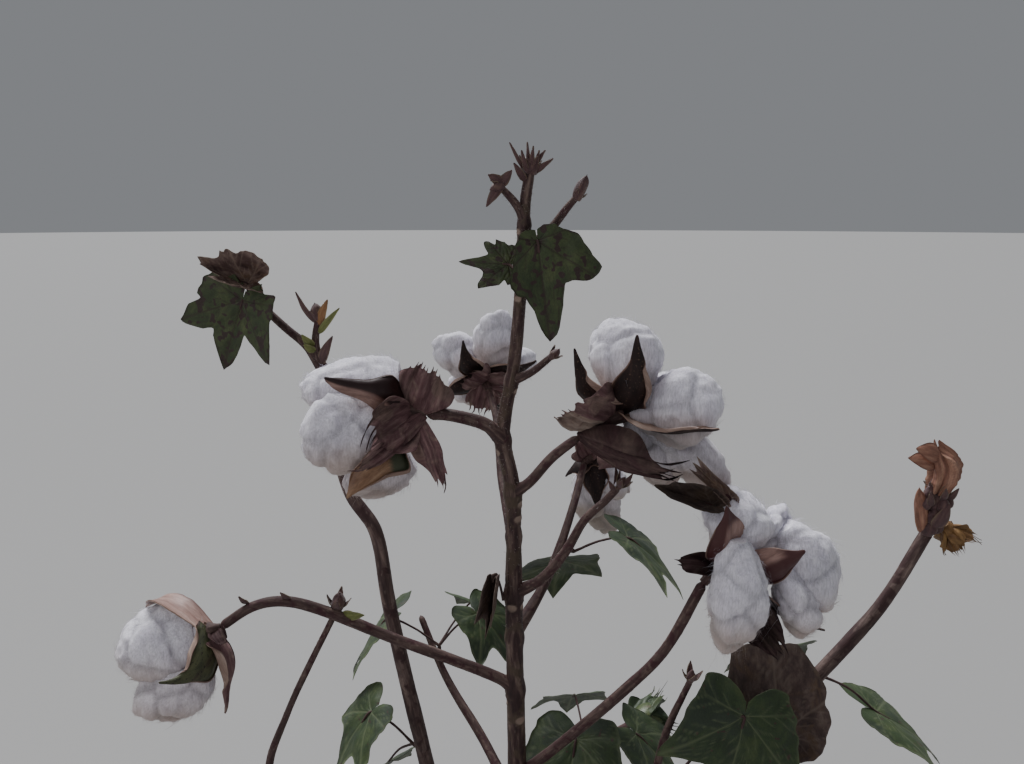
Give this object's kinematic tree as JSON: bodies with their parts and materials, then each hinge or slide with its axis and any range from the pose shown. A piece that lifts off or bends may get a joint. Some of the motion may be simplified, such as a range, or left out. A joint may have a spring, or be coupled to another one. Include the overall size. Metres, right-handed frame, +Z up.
{
  "type": "cotton plant",
  "caption": "Cotton plant at picking time: a reddish branching stem with open bolls of white lint in dry pointed burs, lobed leaves and small buds.",
  "frame": {"origin": "centre of the flat cut under the main stem, at ground level", "axes": "+Z up along the main stem, +X to the right and +Y away from the side that the picture shows"},
  "size_m": [0.4894, 0.3117, 0.6176],
  "materials": {
    "stem_bark": "dark red-brown bark, ridged, with pale leaf scars and short hairs",
    "branch_bark": "grey-brown to reddish bark of thin branches, knobby at the nodes",
    "bur": "dry woody valves, dark outside, tan and smooth inside, with papery ribbed bracts",
    "lint": "matt white fluffy fibre",
    "leaf_green": "dark green leaf with pale veins, brown spots and a worn edge",
    "leaf_dry": "dry brown-grey leaf, curled and papery",
    "bud": "purple-brown pointed bud scales",
    "boll_green": "smooth closed green boll with purple flecks",
    "petal_dried": "withered orange-brown petals"
  },
  "bodies": {
    "root": {"main_stem": "stem_bark", "side_stem_left": "stem_bark", "side_stem_right": "stem_bark", "fork_left_top": "branch_bark", "shoot_left_top": "branch_bark", "spur_right_top": "branch_bark", "spur_left_top": "branch_bark", "spur_right_upper": "branch_bark", "branch_left_upper": "branch_bark", "branch_right_upper": "branch_bark", "branch_right_middle": "branch_bark", "branch_left_middle": "branch_bark", "branch_right_lower": "branch_bark", "branch_back_top": "branch_bark", "branch_back_right": "branch_bark", "branch_back_left": "branch_bark", "branch_back_low": "branch_bark", "branch_front_right": "branch_bark", "branch_front_left": "branch_bark", "shoot_right_low": "branch_bark", "shoot_left_foot": "branch_bark", "shoot_left_low": "branch_bark", "boll_right_upper_bur": "bur", "boll_right_lower_bur": "bur", "boll_left_upper_bur": "bur", "boll_far_left_bur": "bur", "boll_back_right_bur": "bur", "boll_back_top_bur": "bur", "boll_front_right_bur": "bur", "boll_front_left_bur": "bur", "boll_right_upper_lint": "lint", "boll_right_lower_lint": "lint", "boll_left_upper_lint": "lint", "boll_far_left_lint": "lint", "boll_back_right_lint": "lint", "boll_back_top_lint": "lint", "boll_front_right_lint": "lint", "boll_front_left_lint": "lint", "buds_stem_tip": "bud", "buds_branch_middle": "bud", "buds_left_top": "bud", "buds_left_low": "bud", "buds_right_low": "bud", "green_boll_back": "boll_green", "withered_flower_right": "petal_dried", "leaf_top": "leaf_green", "leaf_top_left": "leaf_green", "leaf_curled_middle": "leaf_dry", "leaf_dry_right": "leaf_dry", "leaf_dry_low": "leaf_dry", "leaves_shoot_right": "leaf_green", "leaves_left_top": "leaf_green", "leaves_back_left": "leaf_green", "leaves_back_right": "leaf_green", "leaves_back_low": "leaf_green", "leaves_front_right": "leaf_green", "leaves_front_left": "leaf_green", "leaves_side_right": "leaf_green", "leaves_side_left": "leaf_green"}
  },
  "joints": []
}
